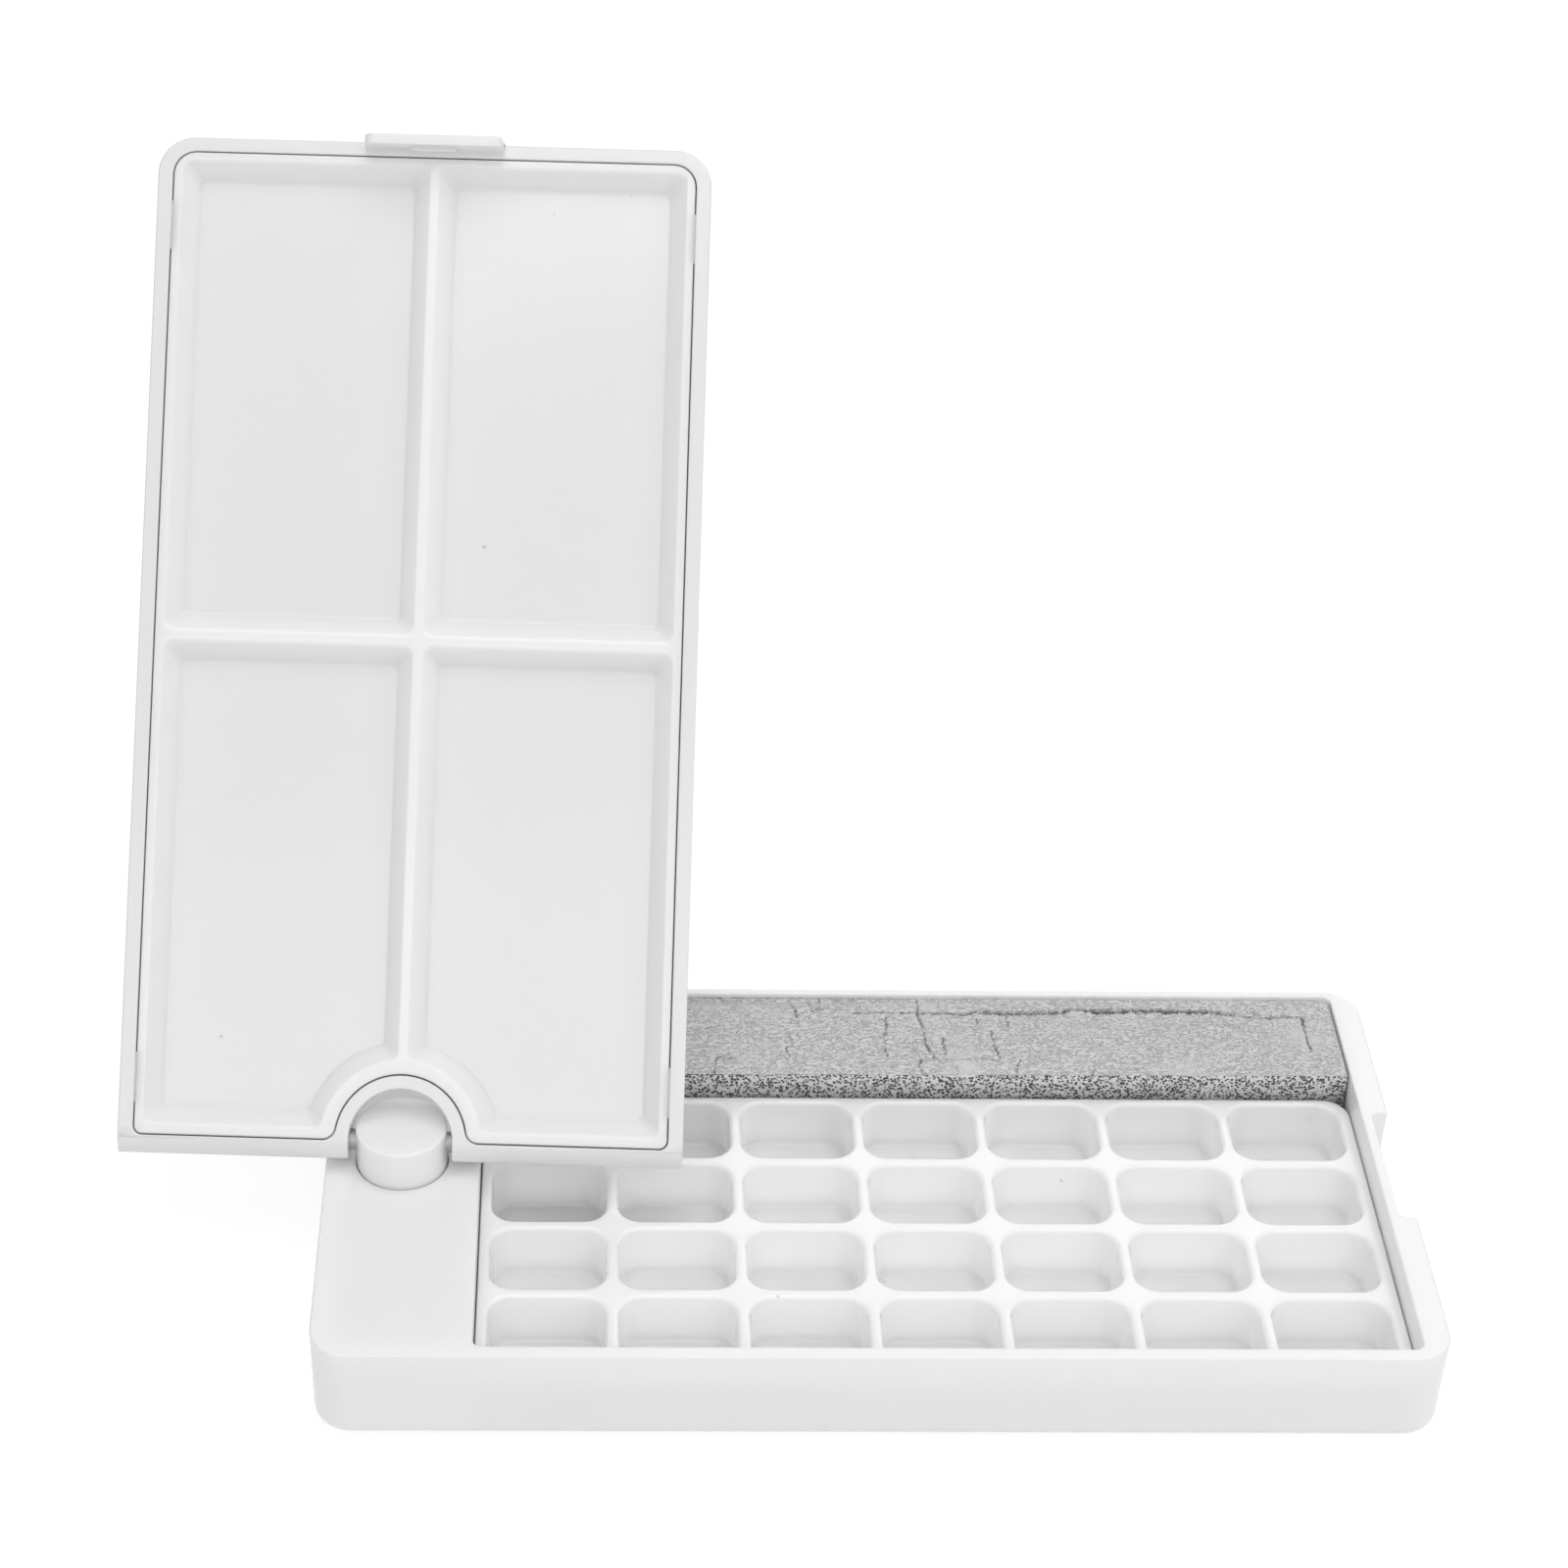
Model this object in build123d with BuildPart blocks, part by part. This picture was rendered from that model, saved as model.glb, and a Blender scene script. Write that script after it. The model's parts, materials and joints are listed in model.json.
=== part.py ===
"""Rotating watercolour palette: a base with 28 wells and a sponge, and a lid with four mixing wells.

The lid tilts on a pin through a round knob, and the knob swivels in the left end of the base.
The model stands as it is used: the lid is turned across the box, open, and leans on its stop.
Millimetres. The origin is the middle of the flat underside, X along the box, Z up.
"""

import os
from math import acos, atan2, cos, degrees, hypot, radians, sin

from build123d import *

os.makedirs("parts", exist_ok=True)

# Base case
length = 220.0
width = 114.0
base_height = 22.4
case_corner = 7.5
wall_draft = 1.0
under_round = 4.2
rim_edge = 0.4
front_rim = 2.9
back_rim = 1.9
end_rim = 5.6
bay_floor = 2.0
bay_corner = 2.0

# Hinge block at the left end of the base, hollow from below
block_width = 31.3
block_plate = 2.4
block_wall = 5.4
block_rib = 1.6
block_rib_spacing = 27.0

# Latch recess in the right end of the base
recess_width = 32.4
recess_depth = 3.5
recess_corner = 1.5
catch_width = 10.0
catch_reach = 0.8
catch_drop = 2.4
catch_height = 1.4

# Removable paint tray
tray_drop = 6.8
tray_gap = 0.25
tray_corner = 5.5
tray_front_corner = 1.5
columns = 7
rows = 4
well_rib = 3.2
side_border = 2.7
front_border = 3.5
back_border = 2.0
well_corner = 4.6
well_floor = 1.2
tray_foot = 1.2
tray_skirt = 1.8

# Sponge along the back
sponge_depth = 26.0
sponge_gap = 0.3
sponge_drop = 0.5

# Swivel knob and what holds it down
pivot_inset = 15.5
knob_radius = 9.25
knob_height = 8.8
knob_edge = 0.45
knob_gap = 0.15
journal_depth = 6.0
stem_radius = 5.0
boss_wall = 3.2
boss_foot = 5.2
peg_inset = 1.95
peg_radius = 0.95
peg_length = 1.3
swivel_to_closed = 92.3
swivel_to_far = 87.7
peg_angle = 180.0
spring_washer_thickness = 0.8
washer_radius = 8.2
washer_thickness = 0.9
screw_radius = 1.5
screw_length = 12.0
screw_head_radius = 4.0
screw_head_height = 2.2
screw_slot_width = 1.0

# Hinge of the lid
hinge_height = 5.0
pin_radius = 2.1
pin_reach = 3.7
pin_gap = 0.1
open_angle = 129.0
ear_radius = 4.8

# Lid
lid_thickness = 8.8
lid_plate = 1.8
lid_side_rim = 3.0
lid_far_rim = 2.8
lid_outer_round = 2.0
lid_near_corner = 1.2
lid_edge = 0.3
notch_gap = 1.25
notch_wall = 2.65
pin_boss_wall = 0.9
ear_start = 1.4
tab_width = 28.2
tab_thickness = 2.2
tab_reach = 7.5
tab_corner = 1.8
tab_catch_width = 9.4
tab_catch_reach = 0.8
tab_catch_height = 2.4
tab_catch_drop = 1.0

# Mixing tray in the lid
mix_gap = 0.25
mix_drop = 0.15
mix_near_corner = 1.6
mix_far_corner = 4.6
mix_bend = 2.6
mix_flange = 1.7
mix_near_flange = 2.2
mix_ring = 2.9
mix_ridge = 1.8
mix_cross_ridge = 2.4
mix_cross_shift = 0.7
mix_slope = 3.4
mix_depth = 4.6
mix_floor = 1.2
mix_skirt = 1.4
mix_corner = 2.0
mix_floor_corner = 1.2
mix_relief = 0.4
nub_length = 10.0
nub_reach = 0.15
nub_height = 2.0
nub_near_inset = 11.3
nub_far_inset = 15.2

# Places worked out from the sizes
left = -length / 2
front = -width / 2
rim = base_height
bay_left = left + block_width
bay_right = length / 2 - end_rim
bay_front = front + front_rim
bay_back = width / 2 - back_rim
bay_length = bay_right - bay_left
bay_width = bay_back - bay_front
tray_top = rim - tray_drop
tray_length = bay_length - 2 * tray_gap
tray_back = bay_back - sponge_depth - 2 * sponge_gap
tray_front = bay_front + tray_gap
tray_width = tray_back - tray_front
pivot_x = left + pivot_inset
peg_orbit = knob_radius - peg_inset
notch_radius = knob_radius + notch_gap
pin_half_length = notch_radius + pin_reach
lid_far = length - pivot_inset
lid_inner = hinge_height
lid_outer = hinge_height - lid_thickness


def lid_frame():
    """The lid's own plane: X from the hinge pin to the far end, Z out of its inner face."""
    tilt = radians(open_angle)
    turn = radians(-swivel_to_closed)
    reach, rise = cos(tilt), sin(tilt)
    along = (reach * cos(turn), reach * sin(turn), rise)
    inward = (rise * cos(turn), rise * sin(turn), -reach)
    return Plane(origin=(pivot_x, 0, rim + hinge_height), x_dir=along, z_dir=inward)


lid_plane = lid_frame()
pin_plane = Plane(origin=lid_plane.origin, x_dir=lid_plane.x_dir, z_dir=lid_plane.y_dir)


def polar(radius, angle):
    """A point at an angle in degrees, as x and y."""
    return radius * cos(radians(angle)), radius * sin(radians(angle))


# Base case: drafted tub with a flat bottom, one bay for tray and sponge, and the hinge block
recess_plane = length / 2 - recess_depth
boss_radius = knob_radius + knob_gap + boss_wall
pocket_length = block_width - block_wall - block_rib
pocket_width = width - 2 * block_wall
journal_floor = rim - journal_depth

with BuildPart() as base_case:
    with BuildSketch(Plane.XY):
        RectangleRounded(length, width, case_corner)
    extrude(amount=base_height)
    walls = base_case.faces().sort_by(Axis.Z)[1:-1]
    draft(walls, Plane.XY.offset(base_height), -wall_draft)
    fillet(base_case.faces().sort_by(Axis.Z)[0].edges(), under_round)
    chamfer(base_case.faces().sort_by(Axis.Z)[-1].edges(), rim_edge)

    # Bay for the paint tray and the sponge
    with BuildSketch(Plane.XY.offset(bay_floor)):
        with Locations((bay_left + bay_length / 2, bay_front + bay_width / 2)):
            RectangleRounded(bay_length, bay_width, bay_corner)
    extrude(amount=base_height, mode=Mode.SUBTRACT)

    # Latch recess in the outside of the right end, with the catch rib on its wall
    with BuildSketch(Plane.XY) as recess:
        with Locations((length / 2, 0)):
            Rectangle(2 * recess_depth, recess_width)
        fillet(recess.vertices().group_by(Axis.X)[0], recess_corner)
    extrude(amount=base_height, mode=Mode.SUBTRACT)
    with BuildSketch(Plane.XZ.offset(catch_width / 2)):
        with BuildLine():
            Polyline(
                (recess_plane - 0.5, rim - catch_drop),
                (recess_plane, rim - catch_drop),
                (recess_plane + catch_reach, rim - catch_drop - catch_height / 2),
                (recess_plane + catch_reach, rim - catch_drop - catch_height),
                (recess_plane - 0.5, rim - catch_drop - catch_height),
                close=True,
            )
        make_face()
    extrude(amount=-catch_width)

    # The hinge block is hollow from below, with ribs and the boss that carries the knob
    pocket_middle = left + block_wall + pocket_length / 2
    with BuildSketch(Plane.XY) as pocket:
        with Locations((pocket_middle, 0)):
            RectangleRounded(pocket_length, pocket_width, bay_corner)
        with Locations((pivot_x, 0)):
            Circle(boss_radius, mode=Mode.SUBTRACT)
        with Locations((pocket_middle, -block_rib_spacing), (pocket_middle, block_rib_spacing)):
            Rectangle(pocket_length, block_rib, mode=Mode.SUBTRACT)
        with Locations((pivot_x, 0)):
            Rectangle(block_rib, pocket_width, mode=Mode.SUBTRACT)
    extrude(amount=rim - block_plate, mode=Mode.SUBTRACT)
    with BuildSketch(Plane.XY):
        with Locations((pivot_x, 0)):
            Circle(boss_radius - block_rib)
    extrude(amount=boss_foot, mode=Mode.SUBTRACT)

    # Stepped bore for the knob and its stem, and the half-circle groove for the stop peg
    with BuildSketch(Plane.XY.offset(journal_floor)):
        with Locations((pivot_x, 0)):
            Circle(knob_radius + knob_gap)
    extrude(amount=base_height, mode=Mode.SUBTRACT)
    with BuildSketch(Plane.XY):
        with Locations((pivot_x, 0)):
            Circle(stem_radius + knob_gap)
    extrude(amount=base_height, mode=Mode.SUBTRACT)
    with BuildSketch(Plane.XY.offset(journal_floor)):
        SlotArc(
            CenterArc((pivot_x, 0), peg_orbit, peg_angle - swivel_to_far, swivel_to_far + swivel_to_closed),
            2 * (peg_radius + knob_gap),
        )
    extrude(amount=-(peg_length + knob_gap), mode=Mode.SUBTRACT)

base_case.part.label = "base_case"
export_step(base_case.part, "parts/base_case.step")


# Paint tray: seven columns by four rows of rounded wells in one loose moulding
well_length = (tray_length - 2 * side_border - (columns - 1) * well_rib) / columns
well_width = (tray_width - front_border - back_border - (rows - 1) * well_rib) / rows
tray_height = tray_top - bay_floor
well_depth = tray_height - tray_foot - well_floor
tray_middle_x = bay_left + bay_length / 2
tray_middle_y = tray_front + tray_width / 2
wells_middle_y = tray_middle_y + (front_border - back_border) / 2

with BuildPart() as paint_tray:
    with BuildSketch(Plane.XY.offset(bay_floor)) as tray_outline:
        with Locations((tray_middle_x, tray_middle_y)):
            Rectangle(tray_length, tray_width)
        fillet(tray_outline.vertices().group_by(Axis.Y)[-1], tray_corner)
        fillet(tray_outline.vertices().group_by(Axis.Y)[0], tray_front_corner)
    extrude(amount=tray_height)
    chamfer(paint_tray.faces().sort_by(Axis.Z)[-1].edges(), rim_edge)
    with BuildSketch(Plane.XY.offset(bay_floor)):
        with Locations((tray_middle_x, tray_middle_y)):
            RectangleRounded(tray_length - 2 * tray_skirt, tray_width - 2 * tray_skirt, tray_corner)
    extrude(amount=tray_foot, mode=Mode.SUBTRACT)
    with BuildSketch(Plane.XY.offset(tray_top)):
        with Locations((tray_middle_x, wells_middle_y)):
            with GridLocations(well_length + well_rib, well_width + well_rib, columns, rows):
                RectangleRounded(well_length, well_width, well_corner)
    extrude(amount=-well_depth, mode=Mode.SUBTRACT)

paint_tray.part.label = "paint_tray"
export_step(paint_tray.part, "parts/paint_tray.step")


# Sponge: a block of foam, a little lower than the rim so that the closed lid clears it
sponge_height = base_height - sponge_drop - bay_floor
sponge_length = bay_length - 2 * sponge_gap
sponge_middle_y = bay_back - sponge_gap - sponge_depth / 2

with BuildPart() as sponge:
    with BuildSketch(Plane.XY.offset(bay_floor)):
        with Locations((tray_middle_x, sponge_middle_y)):
            RectangleRounded(sponge_length, sponge_depth, bay_corner)
    extrude(amount=sponge_height)

sponge.part.label = "sponge"
export_step(sponge.part, "parts/sponge.step")


# Swivel knob: turned profile with a shoulder that rides in the block, and a stem below it
stem_foot = boss_foot - spring_washer_thickness
knob_plane = Plane(origin=(pivot_x, 0, 0), x_dir=(1, 0, 0), z_dir=(0, -1, 0))

with BuildPart() as swivel_knob:
    with BuildSketch(knob_plane) as knob_profile:
        with BuildLine():
            Polyline(
                (0, stem_foot),
                (stem_radius, stem_foot),
                (stem_radius, journal_floor),
                (knob_radius, journal_floor),
                (knob_radius, rim + knob_height),
                (0, rim + knob_height),
                close=True,
            )
        make_face()
        chamfer(knob_profile.vertices().group_by(Axis.Y)[-1].sort_by(Axis.X)[-1], knob_edge)
    revolve(axis=Axis((pivot_x, 0, 0), (0, 0, 1)))

    # Stop peg under the shoulder
    with BuildSketch(Plane.XY.offset(journal_floor)):
        peg_x, peg_y = polar(peg_orbit, peg_angle)
        with Locations((pivot_x + peg_x, peg_y)):
            Circle(peg_radius)
    extrude(amount=-peg_length)

    # Cross hole for the hinge pin and the pilot hole for the screw
    with BuildSketch(pin_plane):
        Circle(pin_radius)
    extrude(amount=2 * knob_radius, both=True, mode=Mode.SUBTRACT)
    with BuildSketch(Plane.XY.offset(stem_foot)):
        with Locations((pivot_x, 0)):
            Circle(screw_radius)
    extrude(amount=screw_length, mode=Mode.SUBTRACT)

swivel_knob.part.label = "swivel_knob"
export_step(swivel_knob.part, "parts/swivel_knob.step")


# Hinge pin: pressed through the knob, its ends turn in the lid's ears
with BuildPart() as hinge_pin:
    with BuildSketch(pin_plane):
        Circle(pin_radius)
    extrude(amount=pin_half_length, both=True)

hinge_pin.part.label = "hinge_pin"
export_step(hinge_pin.part, "parts/hinge_pin.step")


# Spring washer between the boss and the plain washer: it gives the swivel its drag
with BuildPart() as spring_washer:
    with BuildSketch(Plane.XY.offset(stem_foot)):
        with Locations((pivot_x, 0)):
            Circle(washer_radius - 0.6)
            Circle(stem_radius + 0.3, mode=Mode.SUBTRACT)
        with Locations((pivot_x + washer_radius, 0)):
            Rectangle(2 * washer_radius, 0.8, mode=Mode.SUBTRACT)
    extrude(amount=spring_washer_thickness)

spring_washer.part.label = "spring_washer"
export_step(spring_washer.part, "parts/spring_washer.step")


# Plain washer, held against the end of the stem by the screw
washer_foot = stem_foot - washer_thickness
with BuildPart() as plain_washer:
    with BuildSketch(Plane.XY.offset(washer_foot)):
        with Locations((pivot_x, 0)):
            Circle(washer_radius)
            Circle(screw_radius + 0.2, mode=Mode.SUBTRACT)
    extrude(amount=washer_thickness)

plain_washer.part.label = "plain_washer"
export_step(plain_washer.part, "parts/plain_washer.step")


# Screw: flat head with a cross slot, shank up into the stem
with BuildPart() as swivel_screw:
    with BuildSketch(Plane.XY.offset(washer_foot - screw_head_height)):
        with Locations((pivot_x, 0)):
            Circle(screw_head_radius)
    extrude(amount=screw_head_height)
    with BuildSketch(Plane.XY.offset(washer_foot - screw_head_height)):
        with Locations((pivot_x, 0)):
            Rectangle(1.2 * screw_head_radius, screw_slot_width)
            Rectangle(screw_slot_width, 1.2 * screw_head_radius)
    extrude(amount=screw_head_height / 2, mode=Mode.SUBTRACT)
    with BuildSketch(Plane.XY.offset(washer_foot)):
        with Locations((pivot_x, 0)):
            Circle(screw_radius)
    extrude(amount=washer_thickness + screw_length - 1)

swivel_screw.part.label = "swivel_screw"
export_step(swivel_screw.part, "parts/swivel_screw.step")


# Lid shell: tray-like cover with a notch round the knob, two ears and the latch tab
pocket_far = lid_far - lid_far_rim
pocket_side = width / 2 - lid_side_rim
pocket_floor = lid_outer + lid_plate
ring_radius = notch_radius + notch_wall
boss_end = pin_half_length + pin_gap + pin_boss_wall
end_plane = Plane(origin=lid_plane.origin, x_dir=lid_plane.x_dir, z_dir=-lid_plane.y_dir)
cross_plane = Plane(origin=lid_plane.origin, x_dir=lid_plane.y_dir, z_dir=lid_plane.x_dir)
lid_normal = Axis(lid_plane.origin, lid_plane.z_dir)
lid_along = Axis(lid_plane.origin, lid_plane.x_dir)


def insert_outline(grow):
    """Plan of the mixing tray round the notch, grown by a gap all round."""
    near = -grow
    far = pocket_far - mix_gap + grow
    half = pocket_side - mix_gap + grow
    ring = ring_radius + mix_gap - grow
    with BuildSketch(Plane.XY) as outline:
        with Locations(((near + far) / 2, 0)):
            Rectangle(far - near, 2 * half)
        fillet(outline.vertices().group_by(Axis.X)[-1], mix_far_corner + grow)
        fillet(outline.vertices().group_by(Axis.X)[0], mix_near_corner + grow)
        Circle(ring, mode=Mode.SUBTRACT)
        bends = [v for v in outline.vertices() if abs(v.X - near) < 0.1 and abs(v.Y) < ring + 1]
        fillet(bends, mix_bend + grow)
    return outline.sketch


with BuildPart() as lid_shell:
    with BuildSketch(lid_plane.offset(lid_outer)) as lid_outline:
        with Locations(((lid_far - hinge_height) / 2, 0)):
            Rectangle(lid_far + hinge_height, width)
        fillet(lid_outline.vertices().group_by(Axis.X)[-1], case_corner)
        chamfer(lid_outline.vertices().group_by(Axis.X)[0], lid_near_corner)
    extrude(amount=lid_thickness)
    fillet(lid_shell.faces().sort_by(lid_normal)[0].edges(), lid_outer_round)
    chamfer(lid_shell.faces().sort_by(lid_normal)[-1].edges(), lid_edge)

    # Pocket for the mixing tray, the bosses of the pin, and the notch round the knob
    with BuildSketch(lid_plane.offset(pocket_floor)):
        add(insert_outline(mix_gap))
    extrude(amount=lid_thickness, mode=Mode.SUBTRACT)
    for side in (-1, 1):
        with BuildSketch(pin_plane.offset(side * notch_radius)):
            Circle(pin_radius + pin_gap + pin_boss_wall)
        extrude(amount=side * (boss_end - notch_radius))
    with BuildSketch(lid_plane.offset(lid_outer)):
        Circle(notch_radius)
        with Locations((-notch_radius / 2, 0)):
            Rectangle(notch_radius, 2 * notch_radius)
    extrude(amount=lid_thickness, mode=Mode.SUBTRACT)

    # The near end is round about the pin above, and ends in a flat land that stops the lid on the block
    land_angle = 90 + open_angle
    touch_angle = degrees(atan2(lid_inner, ear_start) + acos(ear_radius / hypot(lid_inner, ear_start)))
    land_x, land_y = polar(hinge_height, land_angle)
    end_angle = degrees(acos(land_x / ear_radius))
    land_run = (land_y - lid_outer + 1) / cos(radians(180 - land_angle))
    land_foot = (land_x - land_run * sin(radians(land_angle)), lid_outer - 1)
    with BuildSketch(end_plane):
        with BuildLine():
            Line((ear_start, lid_inner), polar(ear_radius, touch_angle))
            ThreePointArc(
                polar(ear_radius, touch_angle),
                polar(ear_radius, (touch_angle + end_angle) / 2),
                polar(ear_radius, end_angle),
            )
            Polyline(
                polar(ear_radius, end_angle),
                (land_x, land_y),
                land_foot,
                (-2 * hinge_height, lid_outer - 1),
                (-2 * hinge_height, lid_inner + 1),
                (ear_start, lid_inner + 1),
                (ear_start, lid_inner),
            )
        make_face()
    extrude(amount=width, both=True, mode=Mode.SUBTRACT)

    # Pin holes: one is blind, the other opens into the pocket so that the pin can be driven in
    with BuildSketch(pin_plane.offset(-pin_half_length - pin_gap)):
        Circle(pin_radius + pin_gap)
    extrude(amount=2 * boss_end, mode=Mode.SUBTRACT)

    # Latch tab at the far end, flush with the outside, and its catch
    with BuildSketch(lid_plane.offset(lid_inner - 1)):
        with Locations((lid_far - tab_thickness / 2, 0)):
            Rectangle(tab_thickness, tab_width)
    extrude(amount=tab_reach + 1)
    tab_top = lid_shell.faces().sort_by(lid_normal)[-1]
    fillet(tab_top.edges().filter_by(lid_along), tab_corner)
    catch_face = lid_far - tab_thickness
    catch_foot = lid_inner + tab_reach - tab_catch_drop
    with BuildSketch(end_plane.offset(-tab_catch_width / 2)):
        with BuildLine():
            Polyline(
                (catch_face + 0.5, catch_foot),
                (catch_face, catch_foot),
                (catch_face - tab_catch_reach, catch_foot - tab_catch_height / 3),
                (catch_face - tab_catch_reach, catch_foot - tab_catch_height * 2 / 3),
                (catch_face, catch_foot - tab_catch_height),
                (catch_face + 0.5, catch_foot - tab_catch_height),
                close=True,
            )
        make_face()
    extrude(amount=tab_catch_width)

lid_shell.part.label = "lid_shell"
export_step(lid_shell.part, "parts/lid_shell.step")


# Mixing tray: a lift-out insert with four shallow wells that slope up to a frame and two ridges
mix_top = lid_inner - mix_drop
mix_underside = mix_top - mix_depth - mix_floor
mix_far = pocket_far - mix_gap
mix_half = pocket_side - mix_gap
mix_inner = ring_radius + mix_gap
cross_middle = mix_far / 2 + mix_cross_shift
ridge_lean = hypot(mix_slope, mix_depth) / mix_depth
hollow_foot = mix_ridge / 2 + mix_slope * (1 + mix_floor / mix_depth) - mix_floor * ridge_lean
hollow_top = hollow_foot - mix_slope


def mixing_well(side, start, end, inset, corner):
    """Plan of one mixing well at a level: side 1 or -1, inset grows down the slope."""
    near = start + inset
    far = end - inset
    ridge = mix_ridge / 2 + inset
    edge = mix_half - mix_flange - inset
    with BuildSketch(Plane.XY) as plan:
        with Locations(((near + far) / 2, side * (ridge + edge) / 2)):
            Rectangle(far - near, edge - ridge)
        Circle(mix_inner + mix_ring + inset, mode=Mode.SUBTRACT)
        fillet(plan.vertices(), corner)
    return plan.sketch


with BuildPart() as mixing_tray:
    with BuildSketch(lid_plane.offset(pocket_floor)):
        add(insert_outline(0))
    extrude(amount=mix_top - pocket_floor)

    # Four wells, their slopes running down from the frame, the ring and the two ridges
    lengths = (
        (mix_near_flange, cross_middle - mix_cross_ridge / 2),
        (cross_middle + mix_cross_ridge / 2, mix_far - mix_flange),
    )
    for side in (-1, 1):
        for start, end in lengths:
            with BuildSketch(lid_plane.offset(mix_top)):
                add(mixing_well(side, start, end, 0, mix_corner))
            with BuildSketch(lid_plane.offset(mix_top - mix_depth)):
                add(mixing_well(side, start, end, mix_slope, mix_floor_corner))
            loft(ruled=True, mode=Mode.SUBTRACT)

    # The underside is open: a skirt round the edge, and ridges that are hollow from below
    with BuildSketch(lid_plane.offset(pocket_floor)):
        add(insert_outline(-mix_skirt))
    extrude(amount=mix_underside - pocket_floor, mode=Mode.SUBTRACT)
    hollow_start = mix_inner + mix_ring
    with BuildSketch(cross_plane.offset(hollow_start)):
        with BuildLine():
            Polyline(
                (-hollow_foot, mix_underside),
                (-hollow_top, mix_top - mix_floor),
                (hollow_top, mix_top - mix_floor),
                (hollow_foot, mix_underside),
                close=True,
            )
        make_face()
    extrude(amount=mix_far - mix_skirt - hollow_start, mode=Mode.SUBTRACT)
    with BuildSketch(end_plane):
        with BuildLine():
            Polyline(
                (cross_middle - hollow_foot, mix_underside),
                (cross_middle - hollow_top, mix_top - mix_floor),
                (cross_middle + hollow_top, mix_top - mix_floor),
                (cross_middle + hollow_foot, mix_underside),
                close=True,
            )
        make_face()
    extrude(amount=mix_half - mix_skirt, both=True, mode=Mode.SUBTRACT)

    # Relief over the bosses of the pin, and the nubs that hold the tray in the lid
    relief = pin_radius + pin_gap + pin_boss_wall + mix_relief
    with BuildSketch(end_plane):
        Circle(relief)
        with Locations((0, -relief)):
            Rectangle(2 * relief, 2 * relief)
    extrude(amount=boss_end + mix_relief, both=True, mode=Mode.SUBTRACT)
    with BuildSketch(lid_plane.offset(mix_top - lid_edge - nub_height)):
        with Locations((nub_near_inset, 0), (mix_far - nub_far_inset, 0)):
            Rectangle(nub_length, 2 * (mix_half + nub_reach))
            Rectangle(nub_length, 2 * (mix_half - mix_skirt / 2), mode=Mode.SUBTRACT)
    extrude(amount=nub_height)

mixing_tray.part.label = "mixing_tray"
export_step(mixing_tray.part, "parts/mixing_tray.step")
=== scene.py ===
"""A rotating watercolour palette on a white table: the fine mouldings, the sponge and the finishes.

Lengths in the modelling code are millimetres, turned into metres as each piece is placed.
"""

import json
from math import acos, atan2, cos, hypot, pi, radians, sin, sqrt, tan

import bmesh
import bpy
from mathutils import Matrix, Vector, noise
from mathutils.geometry import delaunay_2d_cdt


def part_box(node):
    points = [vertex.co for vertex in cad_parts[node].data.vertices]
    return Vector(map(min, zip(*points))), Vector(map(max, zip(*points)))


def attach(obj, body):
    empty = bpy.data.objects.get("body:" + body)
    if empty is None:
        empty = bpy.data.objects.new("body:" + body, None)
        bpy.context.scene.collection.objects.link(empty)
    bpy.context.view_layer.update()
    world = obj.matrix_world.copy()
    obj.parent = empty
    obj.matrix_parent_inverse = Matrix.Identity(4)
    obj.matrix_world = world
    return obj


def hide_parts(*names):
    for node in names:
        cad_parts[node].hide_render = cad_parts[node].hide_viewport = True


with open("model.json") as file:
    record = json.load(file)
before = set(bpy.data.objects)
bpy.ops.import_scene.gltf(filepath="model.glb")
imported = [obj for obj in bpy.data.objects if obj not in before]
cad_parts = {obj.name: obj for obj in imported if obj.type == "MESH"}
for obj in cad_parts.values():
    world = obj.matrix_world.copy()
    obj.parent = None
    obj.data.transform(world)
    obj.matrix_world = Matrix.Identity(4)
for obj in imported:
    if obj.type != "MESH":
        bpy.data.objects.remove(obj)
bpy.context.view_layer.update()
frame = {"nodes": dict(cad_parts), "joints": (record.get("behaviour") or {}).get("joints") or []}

MILLIMETRE = 0.001


# Shader expressions

# The colour sockets of a Mix node, which share their names with its other kinds
MIX_FACTOR, MIX_FIRST, MIX_SECOND, MIX_RESULT = 0, 6, 7, 2


class Field:
    """A socket that takes part in arithmetic: every operation adds the Math node for it."""

    def __init__(self, finish, socket):
        self.finish = finish
        self.socket = socket

    def math(self, operation, *others):
        maths = self.finish.node("ShaderNodeMath", {"operation": operation}, [self, *others])
        return Field(self.finish, maths.outputs[0])

    def reflected(self, operation, other):
        maths = self.finish.node("ShaderNodeMath", {"operation": operation}, [other, self])
        return Field(self.finish, maths.outputs[0])

    def __add__(self, other):
        return self.math("ADD", other)

    def __radd__(self, other):
        return self.reflected("ADD", other)

    def __sub__(self, other):
        return self.math("SUBTRACT", other)

    def __rsub__(self, other):
        return self.reflected("SUBTRACT", other)

    def __mul__(self, other):
        return self.math("MULTIPLY", other)

    def __rmul__(self, other):
        return self.reflected("MULTIPLY", other)

    def __gt__(self, other):
        return self.math("GREATER_THAN", other)

    def __lt__(self, other):
        return self.math("LESS_THAN", other)


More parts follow.
